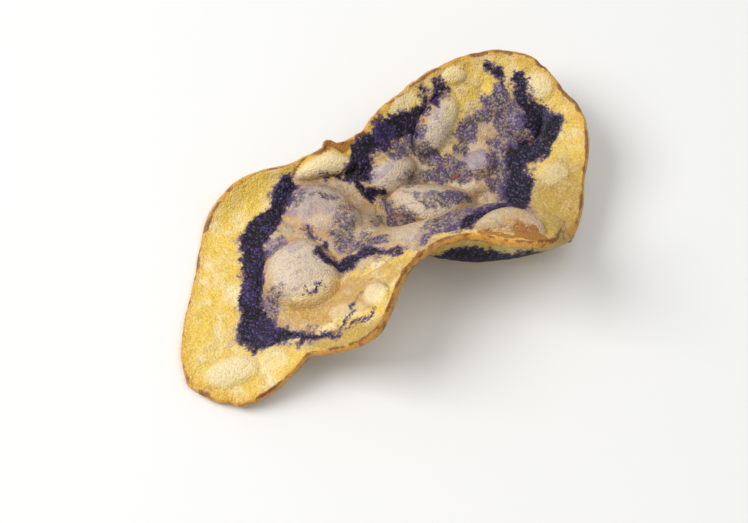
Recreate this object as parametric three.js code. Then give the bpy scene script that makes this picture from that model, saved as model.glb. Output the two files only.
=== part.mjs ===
import * as THREE from 'three';

// A fried potato crisp: one thin slice of a marbled yellow potato, folded, curled and blistered.
// It lies on the plane z = 0 with its longest way along Y. Lengths are millimetres, angles degrees.

// The slice
// Two coordinates follow the slice. u runs along it. v runs across it and over its bends, from
// the crease where it is folded: positive up the back wall, negative down the front flap.
const THICKNESS = 1.5;
const MIDDLE = [1, -5];
const RIM = [
  [24.7, 32.6], [18, 36], [11.5, 33.5], [6, 29], [2.5, 23], [-1.5, 17.5], [-4, 10.3],
  [-9.5, 6.3], [-15, 3], [-22.5, 6], [-28.8, 2.3], [-29, -5.5], [-30.5, -12], [-31.5, -18.5],
  [-30, -25.5], [-26, -30.2], [-20.5, -35.6], [-14.8, -33.4], [-12.2, -30.9], [-11.3, -30.3],
  [-7.5, -30.9], [0, -30.3], [1.5, -22.5], [6, -17], [13.5, -19], [19, -24], [25.5, -19],
  [27, -13.4], [27.8, -7], [28.6, -1.6], [31.4, 3], [31.4, 8.5], [33, 14], [31.5, 21], [27.6, 26.8],
];

// The cross-sections
// Each one starts on the crease and follows a slope that changes with v. The values are given at
// stations along u, and smooth curves join them.
const FIRST_STATION = -40;
const STATION_STEP = 8;
const CREASE_Y = [-8.5, -2, 3, 6, 7.5, 4.5, 2, 2, 2.5, 4, 6.5, 8];
const CREASE_Z = [-4.5, -0.5, 3, 6, 6, 0, -4, -4.5, -3.5, 0, 5.5, 10];
const FLAP_SLOPE = [32, 30, 28, 26, 18, -28, -74, -92, -84, -26, 20, 20];
const LIP_SLOPE = [44, 44, 42, 38, 30, 20, 14, 10, 10, 12, 15, 15];
const WALL_SLOPE = [65, 68, 70, 70, 62, 52, 44, 40, 40, 40, 42, 42];
const CREST_REACH = [20, 20, 20, 16, 10, 11, 11, 12, 11, 8, 7, 7];
const CREST_WIDTH = 9;
const CREASE_WIDTH = 8;
const WALL_CURL = 24;
const CURL_START = 8;
const CURL_WIDTH = 28;

// The blisters
// Each one is an oval dome on the upper face: its centre, its two half widths, its turn from u
// towards v, and its height. The lower face bulges a little below it.
const BLISTERS = [
  { at: [-12.9, -16.8], half: [7, 5.6], turn: 135, height: 3.3 },
  { at: [-10.3, -5], half: [7, 5.4], turn: 145, height: 2.7 },
  { at: [-9.6, 3.9], half: [5.4, 2], turn: 25, height: 1.5 },
  { at: [0.5, 8.5], half: [6.5, 2.4], turn: 55, height: 2.2 },
  { at: [7.5, 6.5], half: [8, 4.6], turn: 30, height: 4.5 },
  { at: [7.5, 21.5], half: [6.8, 1.8], turn: 65, height: 1.5 },
  { at: [18.5, 27], half: [3.8, 2.5], turn: 135, height: 1.2 },
  { at: [22, 22.5], half: [4, 2.8], turn: 130, height: 1.6 },
  { at: [15, 16.5], half: [3.2, 2.5], turn: 30, height: 1.3 },
  { at: [14, 12.5], half: [4, 1.6], turn: 15, height: 1 },
  { at: [19, -18], half: [5, 1.8], turn: 15, height: 1.2 },
  { at: [25, 27.5], half: [3.2, 1.8], turn: 130, height: 0.6 },
  { at: [11, 30.5], half: [2.5, 1.4], turn: 35, height: 0.5 },
  { at: [27, 12], half: [3.5, 2], turn: 140, height: 0.5 },
  { at: [-24, -27.5], half: [5.8, 2.2], turn: 150, height: 0.8 },
  { at: [-1, -23], half: [2.8, 1.8], turn: 115, height: 0.7 },
];
const DOME_FULLNESS = 1;
const LOWER_BULGE = 0.25;

// How it lies
// REST_UP is the direction, seen from the cross-sections, that points up once the crisp has
// settled on its lowest points. Those points are flat over the last REST_FLAT of their height.
const REST_UP = new THREE.Vector3(0.16, -0.54, 0.826).normalize();
const REST_TURN = 50;
const REST_FLAT = 0.45;

// The mesh
const GRID_LINES = 41;
const SECTION_STEPS = 24;
const NORMAL_STEP = 0.05;

const smooth = (t) => THREE.MathUtils.smoothstep(t, 0, 1);

// A smooth curve that runs close to a row of values, at position t counted in values
function spline(values, t, closed = false) {
  const count = values.length;
  const place = closed ? t : THREE.MathUtils.clamp(t, 1, count - 2 - 1e-9);
  const base = Math.floor(place);
  const f = place - base;
  const weights = [
    (1 - f) ** 3 / 6,
    (3 * f ** 3 - 6 * f ** 2 + 4) / 6,
    (-3 * f ** 3 + 3 * f ** 2 + 3 * f + 1) / 6,
    f ** 3 / 6,
  ];
  return weights.reduce((sum, weight, k) => {
    const index = (base - 1 + k + count) % count;
    return sum + weight * values[index];
  }, 0);
}

function atStation(values, u) {
  return spline(values, (u - FIRST_STATION) / STATION_STEP);
}

// The slope of a cross-section, in radians: 0 is level and a quarter turn is upright
function slope(u, v) {
  const pastCrest = smooth((-v - atStation(CREST_REACH, u)) / CREST_WIDTH + 0.5);
  const front = THREE.MathUtils.lerp(atStation(FLAP_SLOPE, u), atStation(LIP_SLOPE, u), pastCrest);
  const back = atStation(WALL_SLOPE, u) + WALL_CURL * smooth((v - CURL_START) / CURL_WIDTH);
  const behind = smooth(v / CREASE_WIDTH + 0.5);
  return THREE.MathUtils.degToRad(THREE.MathUtils.lerp(front, back, behind));
}

// The middle of the slice's thickness, reached by walking the cross-section from the crease to v
function sheetPoint(u, v) {
  const point = new THREE.Vector3(u, atStation(CREASE_Y, u), atStation(CREASE_Z, u));
  const stride = v / SECTION_STEPS;
  for (let step = 0; step < SECTION_STEPS; step += 1) {
    const angle = slope(u, stride * (step + 0.5));
    point.y += stride * Math.cos(angle);
    point.z += stride * Math.sin(angle);
  }
  return point;
}

function sheetNormal(u, v) {
  const centre = sheetPoint(u, v);
  const along = sheetPoint(u + NORMAL_STEP, v).sub(centre);
  const across = sheetPoint(u, v + NORMAL_STEP).sub(centre);
  return along.cross(across).normalize();
}

function blisterHeight(u, v) {
  const heights = BLISTERS.map(({ at, half, turn, height }) => {
    const offset = new THREE.Vector2(u - at[0], v - at[1]);
    offset.rotateAround(new THREE.Vector2(), -THREE.MathUtils.degToRad(turn));
    const inside = 1 - (offset.x / half[0]) ** 2 - (offset.y / half[1]) ** 2;
    return height * Math.max(inside, 0) ** DOME_FULLNESS;
  });
  return Math.max(...heights);
}

// A square grid, rounded to a disc and then stretched to the rim of the slice
function slicePlace(a, b) {
  const x = a * Math.sqrt(1 - (b * b) / 2);
  const y = b * Math.sqrt(1 - (a * a) / 2);
  const reach = Math.hypot(x, y);
  const turns = Math.atan2(y, x) / (2 * Math.PI);
  const t = ((turns + 1) % 1) * RIM.length;
  return [0, 1].map((axis) => {
    const rim = spline(RIM.map((corner) => corner[axis]), t, true);
    return MIDDLE[axis] + reach * (rim - MIDDLE[axis]);
  });
}

// The grid's points on the upper face, then the same points on the lower face
function facePoints() {
  const upper = [];
  const lower = [];
  for (let row = 0; row < GRID_LINES; row += 1) {
    for (let column = 0; column < GRID_LINES; column += 1) {
      const a = (2 * row) / (GRID_LINES - 1) - 1;
      const b = (2 * column) / (GRID_LINES - 1) - 1;
      const [u, v] = slicePlace(a, b);
      const middle = sheetPoint(u, v);
      const normal = sheetNormal(u, v);
      const dome = blisterHeight(u, v);
      upper.push(middle.clone().addScaledVector(normal, THICKNESS / 2 + dome));
      lower.push(middle.clone().addScaledVector(normal, -THICKNESS / 2 - LOWER_BULGE * dome));
    }
  }
  return upper.concat(lower);
}

// The grid numbers of the rim points, once round
function rimLoop() {
  const last = GRID_LINES - 1;
  const loop = [];
  for (let k = 0; k < last; k += 1) loop.push(k * GRID_LINES);
  for (let k = 0; k < last; k += 1) loop.push(last * GRID_LINES + k);
  for (let k = last; k > 0; k -= 1) loop.push(k * GRID_LINES + last);
  for (let k = last; k > 0; k -= 1) loop.push(k);
  return loop;
}

// Triangles of the upper face, the lower face and the cut edge that joins them
function faceTriangles() {
  const lowerStart = GRID_LINES * GRID_LINES;
  const triangles = [];
  for (let row = 0; row + 1 < GRID_LINES; row += 1) {
    for (let column = 0; column + 1 < GRID_LINES; column += 1) {
      const a = row * GRID_LINES + column;
      const b = a + GRID_LINES;
      triangles.push([a, b, b + 1], [a, b + 1, a + 1]);
    }
  }
  const mirrored = triangles.map(([a, b, c]) => [lowerStart + a, lowerStart + c, lowerStart + b]);
  const loop = rimLoop();
  const edge = loop.flatMap((a, k) => {
    const b = loop[(k + 1) % loop.length];
    return [[b, a, lowerStart + a], [b, lowerStart + a, lowerStart + b]];
  });
  return [...triangles, ...mirrored, ...edge].flat();
}

// Turns the points to the way the crisp lies, and stands it on its flat spots at the origin
function settle(points) {
  const upright = new THREE.Quaternion().setFromUnitVectors(REST_UP, new THREE.Vector3(0, 0, 1));
  const turn = THREE.MathUtils.degToRad(REST_TURN);
  points.forEach((point) => {
    point.applyQuaternion(upright).applyAxisAngle(new THREE.Vector3(0, 0, 1), turn);
  });
  const box = new THREE.Box3().setFromPoints(points);
  const middle = box.getCenter(new THREE.Vector3());
  const base = new THREE.Vector3(middle.x, middle.y, box.min.z + REST_FLAT);
  points.forEach((point) => {
    point.sub(base);
    point.z = Math.max(point.z, 0);
  });
  return points;
}

function crispGeometry() {
  const geometry = new THREE.BufferGeometry().setFromPoints(settle(facePoints()));
  geometry.setIndex(faceTriangles());
  geometry.computeVertexNormals();
  return geometry;
}

const goldenCrisp = new THREE.MeshStandardMaterial({
  color: 0xd9b45c,
  roughness: 0.5,
  metalness: 0,
});

const crisp = new THREE.Mesh(crispGeometry(), goldenCrisp);
crisp.name = 'crisp';

const part = new THREE.Group();
part.add(crisp);

export default part;
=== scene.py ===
"""One fried potato crisp with dark marbling, modelled in full and lit as on a plain studio table.

The slice is described by two coordinates in millimetres: u runs along it, and v runs across it and
over its bends, from the crease where it is folded. The relief and the colours are placed by them.
"""

import logging
import math
from dataclasses import dataclass, field
from enum import Enum

import bpy
import numpy as np
from mathutils import Matrix, Quaternion, Vector, noise


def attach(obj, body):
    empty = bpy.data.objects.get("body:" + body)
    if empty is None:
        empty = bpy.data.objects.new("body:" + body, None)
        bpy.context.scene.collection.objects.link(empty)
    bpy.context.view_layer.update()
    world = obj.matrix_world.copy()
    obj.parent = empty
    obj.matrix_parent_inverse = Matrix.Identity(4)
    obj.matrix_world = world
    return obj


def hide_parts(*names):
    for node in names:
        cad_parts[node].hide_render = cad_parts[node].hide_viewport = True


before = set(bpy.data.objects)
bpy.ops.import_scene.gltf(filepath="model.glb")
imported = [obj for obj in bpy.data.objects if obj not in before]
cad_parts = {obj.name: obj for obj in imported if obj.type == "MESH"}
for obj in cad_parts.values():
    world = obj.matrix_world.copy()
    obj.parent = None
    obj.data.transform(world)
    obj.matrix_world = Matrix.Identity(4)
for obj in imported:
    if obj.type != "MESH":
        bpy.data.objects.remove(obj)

LOG = logging.getLogger("crisp")
MM = 0.001
UP = Vector((0.0, 0.0, 1.0))

Point = tuple[float, float]
Knot = tuple[float, float, float]


def linear(code: str) -> tuple[float, float, float, float]:
    """Turns an sRGB hex colour into linear light.

    Args:
        code: the colour as six hex digits.

    Returns:
        Red, green and blue in linear light, and full alpha.
    """
    parts = [int(code[i:i + 2], 16) / 255 for i in (0, 2, 4)]
    red, green, blue = [c / 12.92 if c <= 0.04045 else ((c + 0.055) / 1.055) ** 2.4 for c in parts]
    return red, green, blue, 1.0


def smooth(t: np.ndarray) -> np.ndarray:
    """Eases a value from 0 to 1 as t goes from 0 to 1."""
    t = np.clip(t, 0, 1)
    return t * t * (3 - 2 * t)


def spline(values: np.ndarray, t: np.ndarray, closed: bool = False) -> np.ndarray:
    """Follows a smooth curve that runs close to a row of values.

    Args:
        values: the values, evenly spaced.
        t: positions along the row, counted in values.
        closed: whether the row goes round to its start.

    Returns:
        The curve's value at each position.
    """
    count = len(values)
    place = t if closed else np.clip(t, 1, count - 2 - 1e-9)
    base = np.floor(place).astype(int)
    f = place - base
    # The four weights of a cubic B-spline
    weights = (
        (1 - f) ** 3 / 6,
        (3 * f**3 - 6 * f**2 + 4) / 6,
        (-3 * f**3 + 3 * f**2 + 3 * f + 1) / 6,
        f**3 / 6,
    )
    return sum(w * values[(base - 1 + k) % count] for k, w in enumerate(weights))


@dataclass(frozen=True)
class SliceForm:
    """The bare slice: its outline, its bent cross-sections and the way it lies. Sizes in mm."""

    # The outline in u and v, and the point in it from which the mesh spreads out
    thickness: float = 1.5
    middle: Point = (1, -5)
    rim: tuple[Point, ...] = (
        (24.7, 32.6), (18, 36), (11.5, 33.5), (6, 29), (2.5, 23), (-1.5, 17.5), (-4, 10.3),
        (-9.5, 6.3), (-15, 3), (-22.5, 6), (-28.8, 2.3), (-29, -5.5), (-30.5, -12),
        (-31.5, -18.5), (-30, -25.5), (-26, -30.2), (-20.5, -35.6), (-14.8, -33.4),
        (-12.2, -30.9), (-11.3, -30.3), (-7.5, -30.9), (0, -30.3), (1.5, -22.5), (6, -17),
        (13.5, -19), (19, -24), (25.5, -19), (27, -13.4), (27.8, -7), (28.6, -1.6), (31.4, 3),
        (31.4, 8.5), (33, 14), (31.5, 21), (27.6, 26.8),
    )
    # The cross-sections, at stations along u that smooth curves join: where the crease is, the
    # slopes in degrees of the flap, of the lip past its crest and of the back wall, and how far
    # from the crease the crest is
    first_station: float = -40
    station_step: float = 8
    crease_y: tuple[float, ...] = (-8.5, -2, 3, 6, 7.5, 4.5, 2, 2, 2.5, 4, 6.5, 8)
    crease_z: tuple[float, ...] = (-4.5, -0.5, 3, 6, 6, 0, -4, -4.5, -3.5, 0, 5.5, 10)
    flap_slope: tuple[float, ...] = (32, 30, 28, 26, 18, -28, -74, -92, -84, -26, 20, 20)
    lip_slope: tuple[float, ...] = (44, 44, 42, 38, 30, 20, 14, 10, 10, 12, 15, 15)
    wall_slope: tuple[float, ...] = (65, 68, 70, 70, 62, 52, 44, 40, 40, 40, 42, 42)
    crest_reach: tuple[float, ...] = (20, 20, 20, 16, 10, 11, 11, 12, 11, 8, 7, 7)
    # Over how many mm one slope turns into the next, and how far the back wall curls up
    crest_width: float = 9
    crease_width: float = 8
    wall_curl: float = 24
    curl_start: float = 8
    curl_width: float = 28
    # The fineness of the sums
    section_steps: int = 24
    normal_step: float = 0.05
    # The way it lies: what points up, its turn, and the height over which it is flat below
    rest_up: tuple[float, float, float] = (0.16, -0.54, 0.826)
    rest_turn: float = 50
    rest_flat: float = 0.45

    def station(self, values: tuple[float, ...], u: np.ndarray) -> np.ndarray:
        """Reads a row of station values at u."""
        return spline(np.array(values, float), (u - self.first_station) / self.station_step)

    def slope(self, u: np.ndarray, v: np.ndarray) -> np.ndarray:
        """Gives the slope of the cross-section.

        Args:
            u: places along the slice.
            v: places across it.

        Returns:
            Angles in radians, 0 where the slice is level.
        """
        past = smooth((-v - self.station(self.crest_reach, u)) / self.crest_width + 0.5)
        front = self.station(self.flap_slope, u) * (1 - past) + self.station(self.lip_slope, u) * past
        curl = self.wall_curl * smooth((v - self.curl_start) / self.curl_width)
        back = self.station(self.wall_slope, u) + curl
        behind = smooth(v / self.crease_width + 0.5)
        return np.radians(front * (1 - behind) + back * behind)

    def sheet(self, u: np.ndarray, v: np.ndarray) -> np.ndarray:
        """Walks each cross-section from the crease to v.

        Args:
            u: places along the slice.
            v: places across it.

        Returns:
            Points in the middle of the slice's thickness, before it is laid down.
        """
        y = self.station(self.crease_y, u)
        z = self.station(self.crease_z, u)
        stride = v / self.section_steps
        for step in range(self.section_steps):
            angle = self.slope(u, stride * (step + 0.5))
            y = y + stride * np.cos(angle)
            z = z + stride * np.sin(angle)
        return np.stack([u, y, z], -1)

    def normal(self, u: np.ndarray, v: np.ndarray) -> np.ndarray:
        """Gives the direction that the upper face looks in.

        Args:
            u: places along the slice.
            v: places across it.

        Returns:
            Unit vectors, before the slice is laid down.
        """
        here = self.sheet(u, v)
        along = self.sheet(u + self.normal_step, v) - here
        across = self.sheet(u, v + self.normal_step) - here
        normal = np.cross(along, across)
        return normal / np.linalg.norm(normal, axis=-1, keepdims=True)

    def place(self, a: np.ndarray, b: np.ndarray) -> tuple[np.ndarray, np.ndarray, np.ndarray]:
        """Rounds a square grid to a disc and stretches it to the outline.

        Args:
            a: grid places from -1 to 1.
            b: grid places from -1 to 1.

        Returns:
            u, v, and the distance in from the rim in mm.
        """
        x = a * np.sqrt(1 - b * b / 2)
        y = b * np.sqrt(1 - a * a / 2)
        reach = np.hypot(x, y)
        t = (np.arctan2(y, x) / (2 * np.pi) % 1) * len(self.rim)
        corners = np.array(self.rim, float)
        rim = [spline(corners[:, axis], t, closed=True) - self.middle[axis] for axis in (0, 1)]
        inward = (1 - reach) * np.hypot(*rim)
        return self.middle[0] + reach * rim[0], self.middle[1] + reach * rim[1], inward

    def resting(self) -> Quaternion:
        """Gives the turn from the cross-sections' directions to the way the crisp lies."""
        upright = Vector(self.rest_up).normalized().rotation_difference(UP)
        return Quaternion(UP, math.radians(self.rest_turn)) @ upright


@dataclass(frozen=True)
class Oval:
    """An oval place on the slice: centre, half widths and turn from u towards v, in mm and degrees."""

    at: Point
    half: Point
    turn: float = 0
    amount: float = 1

    def inside(self, u: np.ndarray, v: np.ndarray) -> np.ndarray:
        """Tells how far inside the oval each place lies.

        Args:
            u: places along the slice.
            v: places across it.

        Returns:
            1 at the oval's centre, 0 on its outline and less outside.
        """
        turn = math.radians(self.turn)
        x = (u - self.at[0]) * math.cos(turn) + (v - self.at[1]) * math.sin(turn)
        y = (v - self.at[1]) * math.cos(turn) - (u - self.at[0]) * math.sin(turn)
        return 1 - (x / self.half[0]) ** 2 - (y / self.half[1]) ** 2


BLISTERS = (
    Oval((-12.9, -16.8), (7, 5.6), 135, 3.3),
    Oval((-10.3, -5), (7, 5.4), 145, 2.7),
    Oval((-9.6, 3.9), (5.4, 2), 25, 1.5),
    Oval((0.5, 8.5), (6.5, 2.4), 55, 2.2),
    Oval((7.5, 6.5), (8, 4.6), 30, 4.5),
    Oval((8, 21.4), (6.8, 2.4), 65, 1.5),
    Oval((18.5, 27), (3.8, 2.5), 135, 1.2),
    Oval((22, 22.5), (4, 2.8), 130, 1.6),
    Oval((15, 16.5), (3.2, 2.5), 30, 1.3),
    Oval((14, 12.5), (4, 1.6), 15, 1),
    Oval((19, -17.6), (5.6, 2.3), 12, 1.8),
    Oval((25, 27.5), (3.2, 1.8), 130, 0.6),
    Oval((11, 30.5), (2.5, 1.4), 35, 0.5),
    Oval((27, 12), (3.5, 2), 140, 0.5),
    Oval((-24, -27.5), (5.8, 2.2), 150, 0.8),
    Oval((-1, -23), (2.8, 1.8), 115, 0.7),
)


class Stretch(Enum):
    """Which stretch of the noise each kind of unevenness reads, so that no two are alike."""

    LUMPS = 3.1
    PIMPLES = 8.7
    WRINKLES = 5.3
    RIPPLES = 33.8
    RIM = 11.9
    FINE_RIM = 15.2
    WANDER_U = 21.5
    WANDER_V = 47.2
    FINE_WANDER_U = 63.9
    FINE_WANDER_V = 88.4


class Tint(Enum):
    """What is painted on the slice. Each is one number at every point of the mesh."""

    HEART = "heart"
    VEIN = "vein"
    MOTTLE = "mottle"
    CAP = "cap"
    # Violet bloom, partly painted shade over the upper blister
    LILAC_AND_SHADE = "lilac_and_shade"
    AMBER = "amber"
    # Olive flesh: partly deeper frying, partly painted shade
    OLIVE_AND_SHADE = "olive_and_shade"
    TOAST = "toast"
    RUST = "rust"
    INWARD = "inward"
    CUT = "cut"


def depth_in_outline(outline: tuple[Point, ...], u: np.ndarray, v: np.ndarray) -> np.ndarray:
    """Measures how deep each place lies inside a closed outline.

    Args:
        outline: the corners in order.
        u: places along the slice.
        v: places across it.

    Returns:
        The distance to the outline in mm, below 0 outside it.
    """
    inside = np.zeros(len(u), bool)
    nearest = np.full(len(u), np.inf)
    for (u0, v0), (u1, v1) in zip(outline, outline[1:] + outline[:1]):
        nearest = np.minimum(nearest, reach_of_line((u0, v0, 0), (u1, v1, 0), u, v))
        if v0 != v1:
            crosses = ((v0 > v) != (v1 > v)) & (u < (u1 - u0) * (v - v0) / (v1 - v0) + u0)
            inside ^= crosses
    return np.where(inside, nearest, -nearest)


def reach_of_line(start: Knot, end: Knot, u: np.ndarray, v: np.ndarray) -> np.ndarray:
    """Measures the distance from each place to a line that widens from one end to the other.

    Args:
        start: the line's start and its half width there.
        end: the line's end and its half width there.
        u: places along the slice.
        v: places across it.

    Returns:
        The distance to the line's side in mm, below 0 inside it.
    """
    along = (end[0] - start[0], end[1] - start[1])
    length = along[0] ** 2 + along[1] ** 2
    t = np.clip(((u - start[0]) * along[0] + (v - start[1]) * along[1]) / length, 0, 1)
    gap = np.hypot(u - start[0] - t * along[0], v - start[1] - t * along[1])
    return gap - (start[2] + t * (end[2] - start[2]))


def depth_in_strokes(strokes: tuple[tuple[Knot, ...], ...], u: np.ndarray, v: np.ndarray) -> np.ndarray:
    """Measures how deep each place lies inside brush strokes.

    Args:
        strokes: rows of knots, each a place and the stroke's half width there.
        u: places along the slice.
        v: places across it.

    Returns:
        The depth inside the nearest stroke in mm, below 0 outside them all.
    """
    nearest = np.full(len(u), np.inf)
    for stroke in strokes:
        for start, end in zip(stroke, stroke[1:]):
            nearest = np.minimum(nearest, reach_of_line(start, end, u, v))
    return -nearest


def cover(ovals: tuple[Oval, ...], u: np.ndarray, v: np.ndarray, softness: float = 0.6) -> np.ndarray:
    """Lays soft oval dabs over each other, keeping the strongest at each place.

    Args:
        ovals: the dabs.
        u: places along the slice.
        v: places across it.
        softness: the share of an oval over which it fades in.

    Returns:
        The strength at each place, from 0 to the dab's amount.
    """
    layers = [oval.amount * smooth(oval.inside(u, v) / softness) for oval in ovals]
    return np.max(layers, axis=0)


@dataclass(frozen=True)
class Marbling:
    """Where the pigment, the pale blisters, the browning and some painted shade lie on the slice, in
    mm.
    """

    # The outline of the marbled heart of the slice
    heart: tuple[Point, ...] = (
        (-17.8, 2.5), (-18.4, -1.5), (-20.5, -3.5), (-22.8, -5.5), (-22.3, -10), (-21.8, -14),
        (-23, -18.5), (-23.2, -23), (-20.5, -26.5), (-17.5, -27.8), (-12, -28.8), (-8.5, -28.8),
        (-11, -26.2), (-15.4, -23), (-14, -21), (-8, -20), (-5.5, -17.6), (-1, -17), (3, -17.4),
        (5.5, -17.9), (9, -17.2), (13, -18.8), (15, -20.2), (19.5, -21), (24.4, -18.4),
        (23.6, -14), (22.8, -8), (23.2, 0), (23.8, 7), (24.2, 12), (23.2, 14.6), (24.5, 15.6),
        (27.5, 16.4), (28.7, 19), (28.2, 22), (26, 23.8), (24.6, 25), (23.6, 28), (22.3, 31.3),
        (21, 31.1),
        (20.4, 28.4), (19.5, 29.6), (18.4, 31.4), (17.6, 33.1), (15.4, 33.4), (16, 32.1),
        (17.7, 30.6), (17.4, 29), (15.3, 28), (14.6, 26.4), (12.6, 25), (11.2, 22.6),
        (10.5, 19.6), (10.3, 17.6), (9.2, 17.4), (9.7, 21), (10, 25), (9.6, 29.9), (8.4, 29),
        (7.3, 27.2), (6.4, 26.8), (5.6, 24), (4.4, 21.4), (2.4, 19), (-0.2, 17), (-2, 14),
        (-3.6, 12), (-4.4, 9.5), (-5, 6.6), (-6, 4), (-9, 2.2), (-12.5, 2.2), (-15, 2.8),
    )
    # Strokes of dense pigment. Each knot is a place and the stroke's half width there.
    veins: tuple[tuple[Knot, ...], ...] = (
        ((-15.9, 1.3, 1.4), (-15.6, -1, 1.8), (-16.8, -3.5, 2.1), (-19.2, -5.4, 2.8),
         (-20.6, -8.5, 1.8), (-20.3, -12, 1.8), (-20.2, -15, 1.7), (-20.6, -18.2, 1.9),
         (-20.5, -21, 2.1),
         (-20, -23.5, 2.3), (-18.2, -25.4, 2), (-16, -26.2, 1.4), (-14, -27, 0.8),
         (-11.5, -27.8, 0.8), (-8.8, -28.2, 0.5), (-6.3, -28.2, 0.4)),
        ((-9.6, -13.4, 0.4), (-8.7, -15.2, 0.8), (-6.6, -16.3, 0.8), (-4.4, -15.4, 0.8),
         (-2.4, -14.2, 0.9), (-0.6, -15.4, 0.7), (1.4, -16.2, 0.5), (3.2, -16.8, 0.2)),
        ((-3.2, -21.3, 0), (-4.6, -23.6, 0.2), (-5.7, -25.6, 0.2), (-6.4, -27.4, 0.26)),
        ((-4.9, -27, 0.22), (-3.3, -26.8, 0.26), (-1.9, -26, 0.24), (-1.5, -25.2, 0.1)),
        ((-12.4, -20.9, 0), (-10.6, -21.1, 0.1), (-9.2, -20.5, 0.3)),
        ((-12.5, -9.2, 0.1), (-10.2, -11.2, 0.2), (-8.6, -13.4, 0.3)),
        ((-10, 1.9, 0), (-8.4, 2.3, 0.2), (-7, 3, 0.6), (-5.2, 4.6, 1.2), (-4, 6.2, 1.7),
         (-3.6, 9, 1.3), (-2.3, 12, 1.1), (-0.4, 14.4, 1.5), (1.2, 16.6, 1.9), (3, 18.6, 1.7),
         (4.5, 20.8, 1.1), (5.6, 23.2, 0.7), (6.3, 26, 0.4)),
        ((-4.6, 3.4, 0.9), (-3.4, 1.6, 0.7), (-2.2, 3.4, 0.7), (-0.4, 4.6, 0.6)),
        ((9.3, 29.3, 0.4), (8.5, 27.3, 0.9), (7.6, 25.2, 0.6)),
        ((21.8, 30.6, 0.6), (21.9, 28.8, 1), (22.6, 26.8, 1.2), (23.3, 24.8, 1.4), (24.6, 22.4, 2),
         (26.2, 20.4, 2.3), (25.8, 18, 2.1), (23.4, 17.4, 1.9), (21, 17.6, 2),
         (21.6, 14.6, 1.4), (21.7, 12, 2.3), (21.6, 9.4, 2.2), (21.4, 5, 1.8), (21, 0, 1.7),
         (20.8, -5, 1.8), (20.6, -9.5, 1.9), (20.2, -12.8, 1.7), (17.5, -14.6, 0.8),
         (15, -15, 1), (13, -16.2, 1.3), (12.4, -17.6, 0.9)),
        ((16, 33, 0.5), (17.2, 32.4, 0.8), (18.2, 31, 0.6), (18.9, 29.6, 0.4)),
    )
    lower_veins: tuple[tuple[Knot, ...], ...] = (
        ((8.5, -1.2, 1.2), (11, -1.8, 2), (14.5, -2, 2), (17.5, -1, 1.4), (21, -0.9, 1.2),
         (24.5, -1, 0.8)),
    )
    # Where the lower face shows under the lipped flap, with veins of its own. Elsewhere its veins
    # are those of the upper face, narrowed.
    under_flap_u: float = 6
    under_flap_v: Point = (-12, 6)
    lower_narrowing: float = 0.5
    depth_limit: float = 4
    # Thin smears of pigment
    mottles: tuple[Oval, ...] = (
        Oval((-16, -0.5), (2.6, 3.4), 90, 0.8), Oval((-16.6, -11), (3, 2.4), 120, 0.5),
        Oval((-9.5, -4.6), (3.2, 1), 160, 0.6), Oval((-6, -8.6), (4.4, 2.2), 75, 0.5),
        Oval((-6, -12), (3, 2), 100, 0.7), Oval((-3, -11.8), (3, 1.6), 80, 0.6),
        Oval((-1.6, -4), (6, 0.8), 85, 0.5), Oval((7, -15.8), (2.6, 1), 20, 0.7),
        Oval((10, -16), (3, 1.3), 170, 0.8), Oval((4.4, 10.4), (4.6, 1.6), 40, 0.5),
        Oval((9.6, 8.8), (4.8, 1.9), 20, 0.85), Oval((5, 6.6), (3.4, 1.4), 10, 0.6),
        Oval((2.2, 13.6), (4.6, 1.2), 45, 0.8),
        Oval((6.6, 16), (4.6, 2.2), 10, 0.85), Oval((11, 15), (3.6, 2.2), 160, 0.8),
        Oval((8.4, 13.2), (3.4, 1.4), 30, 0.85), Oval((5.6, 24), (2.4, 0.8), 70, 0.7),
        Oval((5, 18.6), (2.4, 1.2), 60, 0.7), Oval((13.2, 22.4), (3.4, 2), 60, 0.9),
        Oval((15.4, 24.4), (2.6, 1.6), 30, 0.8), Oval((17.8, 27.4), (3, 2.6), 30, 0.95),
        Oval((20, 24), (3.2, 3), 100, 0.85), Oval((22, 21), (3, 2.2), 20, 0.8),
        Oval((18.6, 20), (2.6, 2), 20, 0.7), Oval((18, 16.6), (3.4, 2), 150, 0.9),
        Oval((19, 12.6), (3, 2.6), 90, 0.8), Oval((16.4, 14.2), (3.2, 1.4), 160, 0.6),
        Oval((12.4, 18.8), (2, 1.4), 0, 0.7), Oval((12, 0), (9, 6), 0, 0.5),
        Oval((2.4, 2.2), (3, 1.6), 60, 0.6), Oval((0.3, 1), (4, 1), 85, 0.7),
        Oval((-2.5, -12.6), (4, 1.4), 5, 0.8), Oval((-13.4, -3.6), (2.4, 1.4), 60, 0.6),
        Oval((-17.6, -21), (2.2, 3.4), 0, 0.6), Oval((-9, -25.6), (4.6, 1), 5, 0.5),
        Oval((10.6, -13.8), (5.6, 2.2), 178, 0.75), Oval((18, -14.2), (5.6, 2.2), 10, 0.7),
    )
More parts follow.
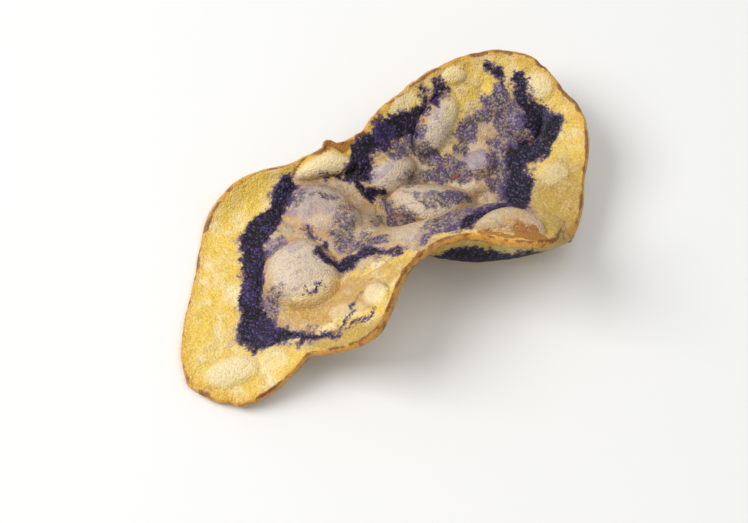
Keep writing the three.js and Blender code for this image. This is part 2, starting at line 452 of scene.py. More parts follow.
    # Pale tops of blisters and bulges
    caps: tuple[Oval, ...] = (
        Oval((-12.4, -17), (6.6, 5.2), 135, 1), Oval((-10.6, -5.6), (5.6, 4), 135, 0.45),
        Oval((-10, 3.6), (5.6, 1.9), 25, 1), Oval((0.6, 8.6), (5.8, 2), 55, 0.9),
        Oval((6, 7), (7, 3.2), 30, 0.9), Oval((8.6, 21.4), (7, 2.4), 66, 1),
        Oval((24.2, 22.4), (1.8, 1.6), 0, 0.4), Oval((14.6, 16.8), (2.8, 1.8), 30, 0.8),
        Oval((14.2, 19.6), (2.2, 1.4), 0, 0.7), Oval((12.6, 13), (2.6, 1.2), 15, 0.8),
        Oval((18.6, -17.2), (4.8, 2), 14, 0.1), Oval((24.8, 28), (3.4, 1.9), 128, 0.9),
        Oval((10.6, 30.8), (2.6, 1.3), 30, 0.8), Oval((27, 12), (3.4, 2), 140, 0.5),
        Oval((-23.4, -27.6), (5.4, 2.4), 152, 1), Oval((-17, -29.6), (3.2, 2), 150, 0.6),
        Oval((-1.2, -22.8), (2.8, 1.9), 115, 0.9), Oval((-8.6, -27), (1.8, 1), 20, 0.7),
        Oval((2.6, 21.8), (4.2, 1.1), 58, 0.9), Oval((3.8, -13), (3, 3), 0, 0.5),
        Oval((-4, -5.5), (5, 1.1), 60, 0.7), Oval((-1.6, -8.5), (4.5, 1), 50, 0.7),
        Oval((-7, -2.6), (3, 1.2), 20, 0.5), Oval((1.5, -6), (4, 1), 45, 0.6),
        Oval((-5.5, -24.5), (3.2, 1.8), 0, 0.5),
    )
    # Violet bloom, and over the upper blister a large oval that is partly painted shade
    lilacs_and_shade: tuple[Oval, ...] = (
        Oval((-16.6, -10.6), (3.4, 2), 130, 0.9), Oval((-14, -12.8), (3.4, 1.6), 150, 0.6),
        # The first oval here greys the whole upper blister: partly its own violet, partly painted shade
        Oval((-11.5, -4.6), (6.5, 4.6), 140, 0.7), Oval((-7, -9.5), (5, 2.4), 75, 0.55),
        Oval((-9.6, -4.8), (2.6, 0.9), 160, 0.7), Oval((-1.4, 7), (4, 0.9), 60, 0.8),
        Oval((7.6, 24), (3.4, 0.9), 66, 0.6), Oval((17.4, 27.6), (3, 2), 30, 0.8),
        Oval((21, 22.6), (3, 2.4), 100, 0.8), Oval((14.2, 17), (3, 2.4), 30, 0.9),
        Oval((8, -15), (5, 2), 5, 0.7), Oval((18, -13.4), (5, 1.6), 8, 0.7),
        Oval((-20.2, -14), (1.9, 7), 0, 0.7), Oval((-18.6, -24.4), (3, 2.4), 140, 0.8),
        Oval((-0.4, 14.4), (4.4, 1.5), 50, 0.75),
    )
    # Flesh that the oil has browned, then darker olive flesh that is partly painted shade
    ambers: tuple[Oval, ...] = (
        Oval((-6, -22), (8, 4.4), 5, 0.9), Oval((-11, -24), (5, 2.6), 160, 0.9),
        Oval((-1, -19.4), (4, 2), 20, 0.7), Oval((2, -20), (3, 1.4), 50, 0.6),
        Oval((-9.6, 3.9), (4.8, 1.6), 25, 0.6), Oval((13, 29.5), (3, 3), 0, 0.5),
    )
    # Olive dabs on the right side and along the front flap: partly deeper frying, partly painted shade
    olives_and_shade: tuple[Oval, ...] = (
        Oval((27.5, 4), (6, 12), 0, 1), Oval((-5, -29.2), (8.5, 2.4), 0, 1),
        Oval((27, -14), (4, 5), 0, 0.8), Oval((5, -21.5), (4, 2.4), 45, 0.6),
    )
    # Toasted patches at the rim, and rust-red specks
    toasts: tuple[Oval, ...] = (
        Oval((17.4, -20.9), (3.6, 0.9), 165, 0.9), Oval((22.4, -19.6), (4, 1.7), 30, 1),
        Oval((25.8, -17.4), (2, 0.7), 48, 0.8),
        Oval((15.6, -20.2), (1.8, 0.7), 175, 0.9), Oval((-7.2, 7.8), (3.4, 1.3), 35, 1),
        Oval((-18.4, -35), (4, 1.1), 22, 0.9), Oval((12.4, 32.4), (2.6, 0.8), 10, 0.5),
    )
    rusts: tuple[tuple[Knot, ...], ...] = (
        ((5.5, 20.4, 0.12), (5.7, 21.2, 0.2)), ((13.1, 28.1, 0.1), (13.4, 28.5, 0.15)),
        ((14.5, 20.3, 0.2), (14.8, 20.7, 0.15)), ((18.6, 18.9, 0.12), (19.7, 18.9, 0.16)),
        ((10.3, 12.8, 0.1), (11.5, 14.4, 0.3)), ((23, 15.5, 0.15), (23.3, 15.9, 0.1)),
        ((-21.5, -27.1, 0.1), (-21.2, -27.2, 0.12)), ((-2.1, -19.7, 0.1), (-1.4, -19.5, 0.12)),
        ((-7.9, -26.1, 0.12), (-7.7, -25.9, 0.12)), ((29.4, 4.8, 0.1), (29.9, 4.2, 0.14)),
    )


@dataclass
class Crisp:
    """The whole crisp as one closed mesh of the slice, its blisters, wrinkles and paint."""

    form: SliceForm = field(default_factory=SliceForm)
    marbling: Marbling = field(default_factory=Marbling)
    name: str = "crisp_slice"
    base: np.ndarray = field(default_factory=lambda: np.zeros(3))
    # The mesh, and how near the rim a vertex is taken to be on it
    grid_cells: int = 190
    edge_layers: int = 5
    on_rim: float = 1e-6
    # The blisters, and the groove round their feet
    dome_fullness: float = 0.72
    dome_swell: float = 1.12
    dome_shoulder: float = 0.5
    dome_calm: float = 0.75
    lower_bulge: float = 0.25
    foot_groove: float = 0.22
    foot_width: float = 0.14
    foot_height: float = 0.8
    tallest_groove: float = 1.5
    # The fine relief: its grain and its height, and where the sharp creases lie
    lump_size: Point = (3.2, 3.2)
    lump_height: float = 0.22
    pimple_size: Point = (1.1, 1.1)
    pimple_height: float = 0.09
    wrinkle_size: Point = (2, 9)
    wrinkle_height: float = 0.42
    folds: tuple[Oval, ...] = (
        Oval((-3.5, -5.5), (6.5, 8.5), 20), Oval((6, 0), (7, 5), 0, 0.5),
        Oval((-5, -20.5), (8, 3.5), 10, 0.45),
    )
    ripple_size: Point = (6, 1.6)
    ripple_height: float = 0.7
    rippled: tuple[Oval, ...] = (
        Oval((28, 7), (5.5, 13)), Oval((-28, -12), (4, 10), 0, 0.3),
    )
    crease_level: float = 0.2
    calm_width: float = 1.2
    calm_relief: float = 0.2
    # The rim: its rounding, its coarse and fine waver, and its folded corner
    edge_round: float = 0.28
    rim_waver: Point = (0.4, 0.12)
    rim_waver_size: Point = (3.5, 1.2)
    rim_reach: float = 1.5
    folded_corner: Oval = Oval((-8.4, 6.6), (1.3, 1.3), 35, 0.9)
    # How far the painted outlines wander, coarsely and finely
    wander: Point = (0.9, 0.54)
    wander_size: Point = (2.4, 0.9)

    def slab(self) -> bpy.types.Object:
        """Makes a flat square slab, one unit thick, from a grid that is drawn down in layers.

        Returns:
            The slab's object, its grid running from -1 to 1 and its depth from 0 to -1.
        """
        bpy.ops.object.select_all(action="DESELECT")
        cells = self.grid_cells
        bpy.ops.mesh.primitive_grid_add(x_subdivisions=cells, y_subdivisions=cells, size=2)
        slab = bpy.context.active_object
        slab.name = self.name
        slab.data.name = self.name
        bpy.ops.object.mode_set(mode="EDIT")
        bpy.ops.mesh.select_all(action="SELECT")
        for _ in range(self.edge_layers):
            step = {"value": (0, 0, -1 / self.edge_layers)}
            bpy.ops.mesh.extrude_region_move(TRANSFORM_OT_translate=step)
        bpy.ops.mesh.select_all(action="SELECT")
        bpy.ops.mesh.normals_make_consistent(inside=False)
        bpy.ops.object.mode_set(mode="OBJECT")
        return slab

    def wavering(self, u: np.ndarray, v: np.ndarray, size: Point, stretch: Stretch) -> np.ndarray:
        """Reads smooth noise over the slice, from -1 to 1.

        Args:
            u: places along the slice.
            v: places across it.
            size: the noise's grain along u and along v, in mm.
            stretch: which stretch of noise to read.

        Returns:
            One value for each place.
        """
        places = zip(u / size[0], v / size[1])
        return np.array([noise.noise((x, y, stretch.value)) for x, y in places])

    def domes(self, u: np.ndarray, v: np.ndarray) -> tuple[np.ndarray, np.ndarray, np.ndarray]:
        """Shapes the blisters as domes.

        Args:
            u: places along the slice.
            v: places across it.

        Returns:
            The height and the groove round the feet in mm, and from 0 to 1 how far each place is
            on a blister.
        """
        height = np.zeros(len(u))
        groove = np.zeros(len(u))
        inside = np.full(len(u), -np.inf)
        for blister in BLISTERS:
            within = blister.inside(u, v)
            dome = self.dome_swell * blister.amount * np.maximum(within, 0) ** self.dome_fullness
            height = np.maximum(height, dome)
            depth = self.foot_groove * min(blister.amount, self.tallest_groove)
            groove = np.maximum(groove, depth * np.exp(-((within / self.foot_width) ** 2)))
            inside = np.maximum(inside, within)
        on_foot = height < self.foot_height
        return height, groove * on_foot, smooth(inside / self.dome_shoulder)

    def relief(self, u: np.ndarray, v: np.ndarray) -> np.ndarray:
        """Gives the fine relief of the fried surface: lumps, pimples, wrinkles and ripples.

        Args:
            u: places along the slice.
            v: places across it.

        Returns:
            The height in mm.
        """
        # Wrinkles and ripples run aslant. Where their noise is near 0 they form sharp creases.
        lumps = self.wavering(u, v, self.lump_size, Stretch.LUMPS)
        pimples = self.wavering(u, v, self.pimple_size, Stretch.PIMPLES)
        wrinkles = self.wavering(u - 0.5 * v, v + 0.3 * u, self.wrinkle_size, Stretch.WRINKLES)
        wrinkles = cover(self.folds, u, v) * (self.crease_level - np.abs(wrinkles))
        ripples = self.wavering(u + 0.2 * v, v - 0.3 * u, self.ripple_size, Stretch.RIPPLES)
        ripples = cover(self.rippled, u, v) * (self.crease_level - np.abs(ripples))
        return (
            self.lump_height * lumps
            + self.pimple_height * pimples
            + self.wrinkle_height * wrinkles
            + self.ripple_height * ripples
        )

    def paint(self, mesh: bpy.types.Mesh, u: np.ndarray, v: np.ndarray, lower: np.ndarray,
              inward: np.ndarray, cut: np.ndarray) -> None:
        """Stores every tint as a number at each vertex.

        Args:
            mesh: the crisp's mesh.
            u: places along the slice.
            v: places across it.
            lower: whether each vertex is on the lower face.
            inward: the distance in from the rim in mm.
            cut: how far each vertex is on the cut edge, from 0 to 1.
        """
        marks = self.marbling
        pu, pv = u, v
        for amount, grain, for_u, for_v in zip(
            self.wander, self.wander_size, (Stretch.WANDER_U, Stretch.FINE_WANDER_U),
            (Stretch.WANDER_V, Stretch.FINE_WANDER_V),
        ):
            pu = pu + amount * self.wavering(u, v, (grain, grain), for_u)
            pv = pv + amount * self.wavering(u, v, (grain, grain), for_v)
        vein = depth_in_strokes(marks.veins, pu, pv)
        heart = depth_in_outline(marks.heart, pu, pv)
        low, high = marks.under_flap_v
        below = lower & (pu > marks.under_flap_u) & (pv > low) & (pv < high)
        narrower = np.where(lower, vein - marks.lower_narrowing, vein)
        values = {
            Tint.HEART: np.where(below, -marks.depth_limit, heart),
            Tint.VEIN: np.where(below, depth_in_strokes(marks.lower_veins, pu, pv), narrower),
            Tint.MOTTLE: np.where(below, 0, cover(marks.mottles, pu, pv)),
            Tint.CAP: cover(marks.caps, u, v),
            Tint.LILAC_AND_SHADE: cover(marks.lilacs_and_shade, pu, pv),
            Tint.AMBER: cover(marks.ambers, pu, pv),
            Tint.OLIVE_AND_SHADE: cover(marks.olives_and_shade, pu, pv),
            Tint.TOAST: cover(marks.toasts, pu, pv),
            Tint.RUST: depth_in_strokes(marks.rusts, u, v),
            Tint.INWARD: inward,
            Tint.CUT: cut,
        }
        for tint, numbers in values.items():
            layer = mesh.attributes.new(tint.value, "FLOAT", "POINT")
            numbers = np.clip(numbers, -marks.depth_limit, marks.depth_limit)
            layer.data.foreach_set("value", numbers.astype(np.float32))

    def laid_down(self, points: np.ndarray) -> np.ndarray:
        """Turns points in mm from the cross-sections' directions to the way the crisp lies."""
        turn = np.array(self.form.resting().to_matrix())
        return points @ turn.T

    def build(self) -> bpy.types.Object:
        """Builds, paints and places the crisp.

        Returns:
            The crisp's object at the origin, its mesh in metres.
        """
        crisp = self.slab()
        mesh = crisp.data
        count = len(mesh.vertices)
        grid = np.empty(count * 3)
        mesh.vertices.foreach_get("co", grid)
        # The level is 0 on the upper face and -1 on the lower one.
        a, b, level = grid.reshape(-1, 3).T
        u, v, inward = self.form.place(a, b)
        normal = self.form.normal(u, v)
        middle = self.form.sheet(u, v)
        dome, groove, on_dome = self.domes(u, v)
        upper = level > -0.5
        height = self.form.thickness * (0.5 + level)
        height = height + np.where(upper, dome, -self.lower_bulge * dome) * np.abs(2 * level + 1)
        smoothed = self.laid_down(middle + normal * height[:, None])
        self.base = self.stand_on(smoothed)
        calm = smooth(inward / self.calm_width) * (1 - self.calm_relief) + self.calm_relief
        rough = self.relief(u, v) * calm * (1 - self.dome_calm * on_dome)
        rough = rough - np.where(upper, groove, 0)
        on_edge = inward < self.on_rim
        bow = self.edge_round * np.sqrt(np.maximum(1 - (2 * level + 1) ** 2, 0)) * on_edge
        waver = np.zeros(count)
        for amount, grain, stretch in zip(
            self.rim_waver, self.rim_waver_size, (Stretch.RIM, Stretch.FINE_RIM),
        ):
            waver = waver + amount * self.wavering(u, v, (grain, grain), stretch)
        corner = self.folded_corner.amount * np.maximum(self.folded_corner.inside(u, v), 0)
        bow = bow + (waver + corner) * np.exp(-inward / self.rim_reach)
        body = middle + normal * (height + rough)[:, None] + self.outward(u, v) * bow[:, None]
        places = self.laid_down(body) - self.base
        places[:, 2] = np.maximum(places[:, 2], 0)
        mesh.vertices.foreach_set("co", (places * MM).ravel())
        mesh.update()
        cut = on_edge & (level < -0.05) & (level > -0.95)
        inward = inward + self.form.thickness * np.minimum(-level, 1 + level) * cut
        self.paint(mesh, u, v, level < -0.5, inward, cut.astype(float))
        mesh.shade_smooth()
        return crisp

    def outward(self, u: np.ndarray, v: np.ndarray) -> np.ndarray:
        """Gives the direction in the sheet that leads away from its middle.

        Args:
            u: places along the slice.
            v: places across it.

        Returns:
            Unit vectors, before the slice is laid down.
        """
        here = self.form.sheet(u, v)
        reach = np.stack([u - self.form.middle[0], v - self.form.middle[1]], -1)
        reach = reach / (np.linalg.norm(reach, axis=-1, keepdims=True) + 1e-9)
        step = self.form.normal_step
        ahead = self.form.sheet(u + step * reach[:, 0], v + step * reach[:, 1]) - here
        return ahead / (np.linalg.norm(ahead, axis=-1, keepdims=True) + 1e-12)

    def stand_on(self, points: np.ndarray) -> np.ndarray:
        """Finds the point under the crisp that goes to the origin.

        Args:
            points: the laid down points of the crisp, in mm.

        Returns:
            The point in mm, at the height of the table.
        """
        low, high = points.min(0), points.max(0)
        return np.array([(low[0] + high[0]) / 2, (low[1] + high[1]) / 2, low[2] + self.form.rest_flat])

    def to_scene(self, point: tuple[float, float, float]) -> Vector:
        """Carries a point in mm from the cross-sections' frame to the scene, in metres."""
        return Vector((self.laid_down(np.array(point)) - self.base) * MM)


def add_node(tree: bpy.types.NodeTree, kind: str, settings: dict | None = None,
             **links: bpy.types.NodeSocket | float | tuple) -> bpy.types.Node:
    """Adds a shader node with its settings, values and links.

    Args:
        tree: the material's node tree.
        kind: the node's type name.
        settings: properties of the node.
        **links: input sockets by name, with _ for a space, or i and a number for its place.

    Returns:
        The new node.
    """
    node = tree.nodes.new(kind)
    for key, value in (settings or {}).items():
        setattr(node, key, value)
    for key, value in links.items():
        numbered = key[0] == "i" and key[1:].isdigit()
        socket = node.inputs[int(key[1:]) if numbered else key.replace("_", " ")]
        if isinstance(value, bpy.types.NodeSocket):
            tree.links.new(value, socket)
        else:
            socket.default_value = value
    return node


class Grit(Enum):
    """The noises that break the colours up, from fine to coarse."""

    GRAIN = "grain"
    MOTTLE = "mottle"
    PATCH = "patch"


@dataclass(frozen=True)
class Ease:
    """A mask that eases in while a noise or a tint goes from one level to another.

    The noises lie around 0.5. The closer the two levels are, the crisper is the mask.
    """

    source: Grit | Tint
    start: float
    full: float

    def add(self, brush: "Brush") -> bpy.types.NodeSocket:
        """Adds the mask's nodes.

        Args:
            brush: the brush, which has the node tree and the source.

        Returns:
            The mask, from 0 to 1.
        """
        eased = add_node(brush.tree, "ShaderNodeMapRange", {"interpolation_type": "SMOOTHSTEP"},
                         Value=brush.mask(self.source), From_Min=self.start, From_Max=self.full)
        return eased.outputs["Result"]


@dataclass(frozen=True)
class BrokenEdge:
    """A mask with an edge that two noises break up.

    Its source is a depth in mm, above 0 inside the edge, or a dab's strength. The source is
    multiplied by gain. The other numbers are mm: how far each noise moves the edge, how wide the
    edge is, and how far it is shifted outwards.
    """

    source: Tint
    coarse: float
    fine: float
    softness: float
    shift: float = 0.0
    gain: float = 1.0
    noises: tuple[Grit, Grit] = (Grit.MOTTLE, Grit.GRAIN)

    def add(self, brush: "Brush") -> bpy.types.NodeSocket:
        """Adds the mask's nodes.

        Args:
            brush: the brush, which has the node tree, the source and the noises.

        Returns:
            The mask, 1 inside and 0 outside.
        """
        tree = brush.tree
        coarse, fine = [brush.mask(grit) for grit in self.noises]
        moved = add_node(tree, "ShaderNodeMath", {"operation": "MULTIPLY_ADD"}, i0=coarse,
                         i1=self.coarse, i2=self.shift - 0.5 * (self.coarse + self.fine))
        moved = add_node(tree, "ShaderNodeMath", {"operation": "MULTIPLY_ADD"}, i0=fine,
                         i1=self.fine, i2=moved.outputs[0])
        depth = add_node(tree, "ShaderNodeMath", {"operation": "MULTIPLY_ADD"},
                         i0=brush.mask(self.source), i1=self.gain, i2=moved.outputs[0])
        eased = add_node(tree, "ShaderNodeMapRange", {"interpolation_type": "SMOOTHSTEP"},
                         Value=depth.outputs[0], From_Min=-self.softness / 2,
                         From_Max=self.softness / 2)
        return eased.outputs["Result"]


Mask = Grit | Tint | Ease | BrokenEdge


@dataclass(frozen=True)
class Wash:
    """One colour or paint over what is below it, where its mask and the one it is within let it."""

    colour: "str | Paint"
    mask: Mask
    share: float = 1.0
    within: Mask | None = None


@dataclass(frozen=True)
class Paint:
    """A base colour with washes over it, the last one on top."""

    base: "str | Paint"
    washes: tuple[Wash, ...]


@dataclass
class Brush:
    """Lays paints in a node tree. Its sockets keep every mask, so that each is added once."""

    tree: bpy.types.NodeTree
    sockets: dict[Mask, bpy.types.NodeSocket]

    def mask(self, mask: Mask) -> bpy.types.NodeSocket:
        """Gives a mask's socket, adding its nodes the first time.

        Args:
            mask: the mask.

        Returns:
            The socket that carries it.
        """
        if mask not in self.sockets:
            self.sockets[mask] = mask.add(self)
        return self.sockets[mask]

    def lay(self, paint: str | Paint) -> bpy.types.NodeSocket | tuple[float, ...]:
        """Lays a paint with all its washes.

        Args:
            paint: the paint, or a hex colour.

        Returns:
            The socket of the finished colour, or a hex colour in linear light.
        """
        if isinstance(paint, str):
            return linear(paint)
        below = self.lay(paint.base)
        for wash in paint.washes:
            amount = self.mask(wash.mask)
            limits = [self.mask(wash.within)] if wash.within else []
            for factor in [*limits, wash.share]:
                amount = add_node(self.tree, "ShaderNodeMath", {"operation": "MULTIPLY"},
                                  i0=amount, i1=factor).outputs[0]
            mixed = add_node(self.tree, "ShaderNodeMix", {"data_type": "RGBA"}, i0=amount,
                             i6=below, i7=self.lay(wash.colour))
            below = mixed.outputs[2]
        return below


@dataclass(frozen=True)
class FriedPotato:
    """Potato fried in oil: gritty, oily, slightly translucent flesh with purple-black pigment.

    The grains are starch cells burst by the fat. Real ones are about 0.15 mm across, which is too
    fine to show at this size, so they are drawn at 0.32 mm. The film of oil over them gives each
    one a small highlight. Sizes are in mm.
    """

    # Flesh
    flesh: str = "e8c453"
    cream: str = "f3e2b4"
    ochre: str = "d3a540"
    amber: str = "b88d58"
    # Olive for flesh that is partly deeper fried and partly painted shade
    olive_and_shade: str = "b6964a"
    heart: str = "c8ae8a"
    heart_gold: str = "c9a266"
    heart_shade: str = "8a7672"
    cap: str = "dccab6"
    # Pigment, from thin to dense
    # Lilac, also laid as painted shade over the upper blister
    lilac_and_shade: str = "8277a8"
    purple: str = "45396a"
    grey: str = "3a2e3c"
    violet: str = "432c60"
    # Violet grains in the pigment, partly painted glints
    ink_grain_and_glint: str = "7c60a6"
    ink: str = "0c070d"
    blue_ink: str = "0b0c1c"
    # Cut edge, peel and browning
    edge: str = "d8983a"
    edge_shade: str = "a8672a"
    peel: str = "7a4418"
    toast: str = "a3682a"
    rust: str = "9a3516"
    # The noises, and how high the grains and blots stand
    grain_size: float = 0.32
    mottle_size: float = 1.2
    patch_size: float = 3.0
    mottle_detail: float = 4.0
    patch_detail: float = 3.0
    noise_roughness: float = 0.55
    grain_height: float = 0.13
    mottle_height: float = 0.15
    # The edges between the colours
    heart_edge: BrokenEdge = BrokenEdge(Tint.HEART, 2.2, 1.8, 0.9)
    smear_edge: BrokenEdge = BrokenEdge(Tint.MOTTLE, 3.4, 2.6, 1.9, -1.05, 2.5)
    halo_edge: BrokenEdge = BrokenEdge(Tint.VEIN, 1.6, 0.8, 0.7, 0.15)
    ink_edge: BrokenEdge = BrokenEdge(Tint.VEIN, 1.6, 0.7, 0.6, -0.15)
    peel_edge: BrokenEdge = BrokenEdge(
        Tint.INWARD, 2.4, 1.0, 0.4, 0.14, -1.0, (Grit.PATCH, Grit.MOTTLE))
    # The film of oil: which grains glint, how smooth they are, and how deep the light goes in
    glint: Ease = Ease(Grit.GRAIN, 0.5, 0.8)
    roughness: float = 0.5
    glint_roughness: float = 0.22
    ink_glint: float = 0.35
    refraction: float = 1.47
    gloss: float = 0.3
    oil: float = 0.08
    oil_roughness: float = 0.2
    translucence: float = 0.08
    glow_depth: float = 0.7
    glow_reach: tuple[float, float, float] = (1.0, 0.55, 0.2)

    def dab(self, tint: Tint) -> BrokenEdge:
        """Gives the mask of soft dabs, broken up into grains."""
        return BrokenEdge(tint, 1.6, 1.2, 0.9, -1.15, 2.0)

    def border_paint(self) -> Paint:
        """Gives the yellow flesh outside the heart, blotched with cream and ochre.

        Returns:
            The paint, browner towards the rim, and darker olive where the slice faces down: partly
            deeper frying, partly painted shade.
        """
        return Paint(self.flesh, (
            Wash(self.cream, Ease(Grit.PATCH, 0.42, 0.74), 0.85),
            Wash(self.ochre, Ease(Grit.MOTTLE, 0.5, 0.68), 0.45),
            Wash(self.edge, Ease(Tint.INWARD, 1.8, 0.1), 0.45),
            Wash(self.amber, self.dab(Tint.AMBER), 0.75),
            # Olive dabs: partly deeper frying, partly painted shade where the slice faces down
            Wash(self.olive_and_shade, Tint.OLIVE_AND_SHADE, 0.85),
        ))

    def heart_paint(self) -> Paint:
        """Gives the greyer flesh inside the heart.

        Returns:
            The paint, before any pigment.
        """
        return Paint(self.heart, (
            Wash(self.heart_gold, Ease(Grit.PATCH, 0.42, 0.58)),
            Wash(self.heart_shade, Ease(Grit.MOTTLE, 0.48, 0.7), 0.35),
        ))

    def ink_paint(self) -> Paint:
        """Gives the pigment where it is densest.

        Returns:
            The paint of the veins: purple-black and blue-black, with violet specks.
        """
        return Paint(self.ink, (
            Wash(self.blue_ink, Ease(Grit.PATCH, 0.46, 0.6)),
            Wash(self.violet, Ease(Grit.MOTTLE, 0.54, 0.74), 0.3),
            Wash(self.violet, self.dab(Tint.LILAC_AND_SHADE), 0.35),
        ))

    def paint(self) -> Paint:
        """Gives the whole crisp's colour.

        Returns:
            The paint: flesh, blisters, grains that are partly painted highlights, pigment, then
                browning and the cut edge.
        """
        blister = Paint(self.cream, (Wash(self.cap, self.heart_edge),))
        smear = Paint(self.grey, (Wash(self.purple, Ease(Grit.PATCH, 0.4, 0.54)),))
        cut = Paint(self.edge, (Wash(self.edge_shade, Ease(Grit.MOTTLE, 0.5, 0.66)),))
        return Paint(self.border_paint(), (
            Wash(self.heart_paint(), self.heart_edge),
            Wash(blister, Tint.CAP, 0.8),
            # Pale grains all over: partly the flesh's own starch, partly painted highlights of the oil
            Wash(self.cream, Ease(Grit.GRAIN, 0.5, 0.9), 0.22),
            Wash(self.edge_shade, Ease(Grit.GRAIN, 0.5, 0.1), 0.16),
            # Violet bloom, partly painted shade over the upper blister
            Wash(self.lilac_and_shade, self.dab(Tint.LILAC_AND_SHADE), 0.5),
            Wash(smear, self.smear_edge, 0.92, self.heart_edge),
            # Pale grains over the heart: partly its own starch, partly painted highlights
            Wash(self.cap, Ease(Grit.GRAIN, 0.54, 0.84), 0.34, self.heart_edge),
            Wash(self.violet, self.halo_edge, 0.8),
            Wash(self.ink_paint(), self.ink_edge),
            # Violet grains in the pigment: partly its own specks, partly painted glints
            Wash(self.ink_grain_and_glint, Ease(Grit.GRAIN, 0.58, 0.85), 0.32, self.halo_edge),
            Wash(self.toast, self.dab(Tint.TOAST), 0.85),
            Wash(self.rust, Ease(Tint.RUST, -0.1, 0.1), 0.8),
            Wash(cut, Tint.CUT, 0.85),
            Wash(self.peel, self.peel_edge, 0.8),
        ))

    def material(self) -> bpy.types.Material:
        """Builds the node material.

        Returns:
            The material, painted by the crisp's own attributes.
        """
        finish = bpy.data.materials.new("fried_potato_oily")
        finish.use_nodes = True
        tree = finish.node_tree
        tree.nodes.clear()
        spot = add_node(tree, "ShaderNodeTexCoord").outputs["Object"]
        cells = add_node(tree, "ShaderNodeTexVoronoi", None, Vector=spot,
                         Scale=1 / (self.grain_size * MM))
        brush = Brush(tree, {Grit.GRAIN: cells.outputs["Color"]})
        for grit, size, detail in (
            (Grit.MOTTLE, self.mottle_size, self.mottle_detail),
            (Grit.PATCH, self.patch_size, self.patch_detail),
        ):
            blots = add_node(tree, "ShaderNodeTexNoise", None, Vector=spot, Scale=1 / (size * MM),
                             Detail=detail, Roughness=self.noise_roughness)
            brush.sockets[grit] = blots.outputs["Fac"]
        for mark in Tint:
            painted = add_node(tree, "ShaderNodeAttribute", {"attribute_name": mark.value})
            brush.sockets[mark] = painted.outputs["Fac"]

        # The pigment is drier than the flesh, so fewer of its grains glint.
        wet = add_node(tree, "ShaderNodeMath", {"operation": "MULTIPLY_ADD"},
                       i0=brush.mask(self.ink_edge), i1=self.ink_glint - 1, i2=1.0)
        glint = add_node(tree, "ShaderNodeMath", {"operation": "MULTIPLY"},
                         i0=brush.mask(self.glint), i1=wet.outputs[0])
        rough = add_node(tree, "ShaderNodeMath", {"operation": "MULTIPLY_ADD"},
                         i0=glint.outputs[0], i1=self.glint_roughness - self.roughness,
                         i2=self.roughness)
        # Each grain is a rounded bump, with a sharp dip where it meets the next.
        hollow = add_node(tree, "ShaderNodeMath", {"operation": "MULTIPLY"},
                          i0=cells.outputs["Distance"], i1=cells.outputs["Distance"])
        bump = add_node(tree, "ShaderNodeBump", None, Strength=1.0, Distance=self.mottle_height * MM,
                        Height=brush.mask(Grit.MOTTLE))
        bump = add_node(tree, "ShaderNodeBump", {"invert": True}, Strength=1.0,
                        Distance=self.grain_height * MM, Height=hollow.outputs[0],
                        Normal=bump.outputs["Normal"])
        skin = add_node(
            tree, "ShaderNodeBsdfPrincipled", None, Base_Color=brush.lay(self.paint()),
            Roughness=rough.outputs[0], IOR=self.refraction, Specular_IOR_Level=self.gloss,
            Coat_Weight=self.oil, Coat_Roughness=self.oil_roughness,
            Subsurface_Weight=self.translucence, Subsurface_Scale=self.glow_depth * MM,
            Subsurface_Radius=self.glow_reach, Normal=bump.outputs["Normal"],
        )
        add_node(tree, "ShaderNodeOutputMaterial", None, Surface=skin.outputs["BSDF"])
        return finish


@dataclass(frozen=True)
class Softbox:
    """A square soft light, aimed at the crisp from beside the camera.

    Its angles count from the camera: aside to the right and above. Sizes are in metres.
    """

    name: str
    aside: float
    above: float
    distance: float
    size: float
    power: float
    colour: str = "ffffff"

    def build(self, camera: bpy.types.Object) -> None:
        """Adds the light.

        Args:
            camera: the placed camera, whose sides and top the angles follow.
        """
        right, up, back = camera.matrix_world.to_3x3().transposed()
        aside, above = math.radians(self.aside), math.radians(self.above)
        level = back * math.cos(aside) + right * math.sin(aside)
        place = (level * math.cos(above) + up * math.sin(above)) * self.distance
        lamp = bpy.data.lights.new(self.name, "AREA")
        lamp.shape = "SQUARE"
        lamp.size = self.size
        lamp.energy = self.power
        lamp.color = linear(self.colour)[:3]
        stand = bpy.data.objects.new(self.name, lamp)
        stand.location = place
        stand.rotation_euler = (-place).to_track_quat("-Z", "Y").to_euler()
        bpy.context.scene.collection.objects.link(stand)


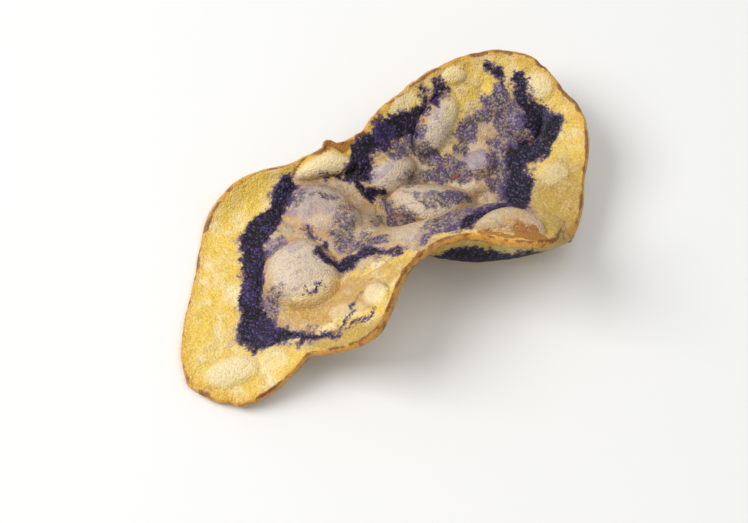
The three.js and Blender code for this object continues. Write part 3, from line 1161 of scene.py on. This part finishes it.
@dataclass
class Studio:
    """A pale table top, soft lights and the camera at the photograph's angle."""

    photo_width: int = 748
    photo_height: int = 523
    mm_per_pixel: float = 0.157
    view_distance: float = 450
    view_elevation: float = 30
    axis_pixel: Point = (385, 240)
    sensor: float = 36
    floor_size: float = 6
    floor_colour: str = "f6f6f4"
    floor_roughness: float = 0.9
    softboxes: tuple[Softbox, ...] = (
        Softbox("key", -40, 20, 0.9, 0.5, 6.0),
        Softbox("fill", 20, 30, 1.2, 0.9, 3.0),
    )
    surround: float = 0.4

    def floor(self) -> bpy.types.Object:
        """Adds the table top with its painted finish.

        Returns:
            The table top.
        """
        bpy.ops.object.select_all(action="DESELECT")
        bpy.ops.mesh.primitive_plane_add(size=self.floor_size)
        top = bpy.context.active_object
        top.name = "table_top"
        paint = bpy.data.materials.new("matt_white_paint")
        paint.use_nodes = True
        skin = paint.node_tree.nodes["Principled BSDF"]
        skin.inputs["Base Color"].default_value = linear(self.floor_colour)
        skin.inputs["Roughness"].default_value = self.floor_roughness
        top.data.materials.append(paint)
        return top

    def world(self) -> None:
        """Sets an even white surround."""
        world = bpy.data.worlds.new("surround")
        bpy.context.scene.world = world
        world.use_nodes = True
        sky = world.node_tree.nodes["Background"]
        sky.inputs["Color"].default_value = (1, 1, 1, 1)
        sky.inputs["Strength"].default_value = self.surround
        bpy.context.scene.view_settings.view_transform = "Standard"

    def camera(self, crisp: Crisp) -> bpy.types.Object:
        """Adds the camera where the photograph was taken from.

        Args:
            crisp: the built crisp, whose way of lying the camera follows.

        Returns:
            The camera.
        """
        rise = math.radians(self.view_elevation)
        right = Vector((1, 0, 0))
        up = Vector((0, math.sin(rise), math.cos(rise)))
        back = Vector((0, -math.cos(rise), math.sin(rise)))
        off_x = (self.photo_width / 2 - self.axis_pixel[0]) * self.mm_per_pixel
        off_y = (self.axis_pixel[1] - self.photo_height / 2) * self.mm_per_pixel
        stand = right * off_x + up * off_y + back * self.view_distance
        turn = crisp.form.resting().to_matrix()
        pose = Matrix((turn @ right, turn @ up, turn @ back)).transposed()
        lens = bpy.data.cameras.new("photo_camera")
        lens.sensor_width = self.sensor
        lens.lens = self.sensor * self.view_distance / (self.mm_per_pixel * self.photo_width)
        lens.clip_start = 0.01
        camera = bpy.data.objects.new("photo_camera", lens)
        camera.matrix_world = Matrix.Translation(crisp.to_scene(tuple(stand))) @ pose.to_4x4()
        bpy.context.scene.collection.objects.link(camera)
        bpy.context.scene.camera = camera
        return camera

    def build(self, crisp: Crisp) -> None:
        """Sets up the table, the lights and the camera.

        Args:
            crisp: the built crisp.
        """
        self.floor()
        self.world()
        camera = self.camera(crisp)
        for softbox in self.softboxes:
            softbox.build(camera)


def main() -> None:
    """Builds the crisp and the studio."""
    logging.basicConfig(level=logging.INFO, format="%(message)s")
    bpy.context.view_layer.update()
    crisp = Crisp()
    piece = crisp.build()
    piece.data.materials.append(FriedPotato().material())
    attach(piece, "root")
    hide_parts("crisp")
    LOG.info("%s: %d faces", piece.name, len(piece.data.polygons))
    Studio().build(crisp)
    LOG.info("studio ready")


if __name__ == "__main__":
    main()
